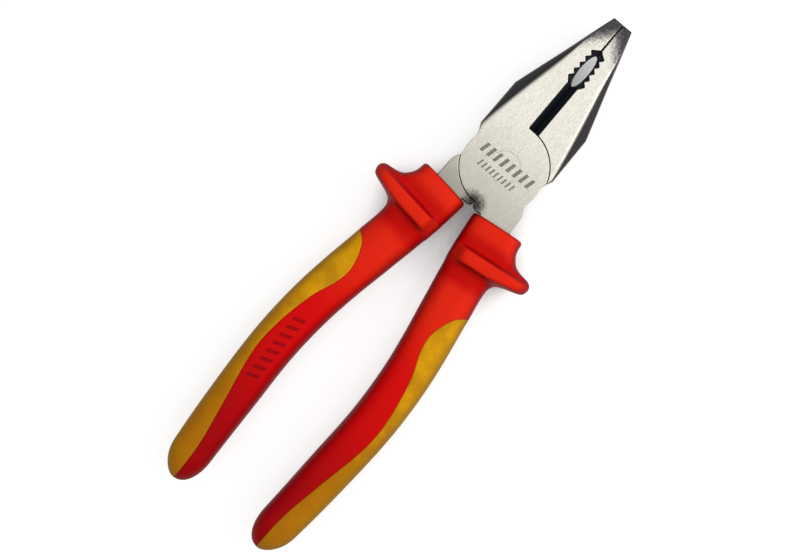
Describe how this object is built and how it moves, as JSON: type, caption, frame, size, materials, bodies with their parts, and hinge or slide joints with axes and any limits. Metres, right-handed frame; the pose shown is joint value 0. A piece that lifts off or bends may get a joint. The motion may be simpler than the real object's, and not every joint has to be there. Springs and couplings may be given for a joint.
{
  "type": "insulated combination pliers",
  "caption": "Insulated combination pliers with lapped joint, side cutter, pipe grip, flat nose and two-colour grips with hand guards.",
  "frame": {"origin": "middle of the bounding box's lowest face, with the tool lying on its back face and the jaws closed", "axes": "+Y to the jaw tips, along the tool; +Z out of the front face; +X to the front half's handle"},
  "size_m": [0.0614, 0.1996, 0.0216],
  "materials": {
    "steel": "finely ground faces, dark oxidised flanks",
    "rivet": "ground flush",
    "grip_core": "matt",
    "grip_shell": "satin gloss",
    "grip_pad": "soft satin"
  },
  "bodies": {
    "front_lever": {"front_half": "steel", "pivot_rivet": "rivet", "front_grip_core": "grip_core", "front_grip_shell": "grip_shell", "front_grip_pad": "grip_pad"},
    "rear_lever": {"rear_half": "steel", "rear_grip_core": "grip_core", "rear_grip_shell": "grip_shell", "rear_grip_pad": "grip_pad"}
  },
  "joints": [
    {"name": "pivot", "type": "hinge", "parent": "front_lever", "child": "rear_lever", "pos_m": [0, 0.04168, 0.0108], "axis": [0, 0, -1], "range_deg": [0, 38]}
  ]
}
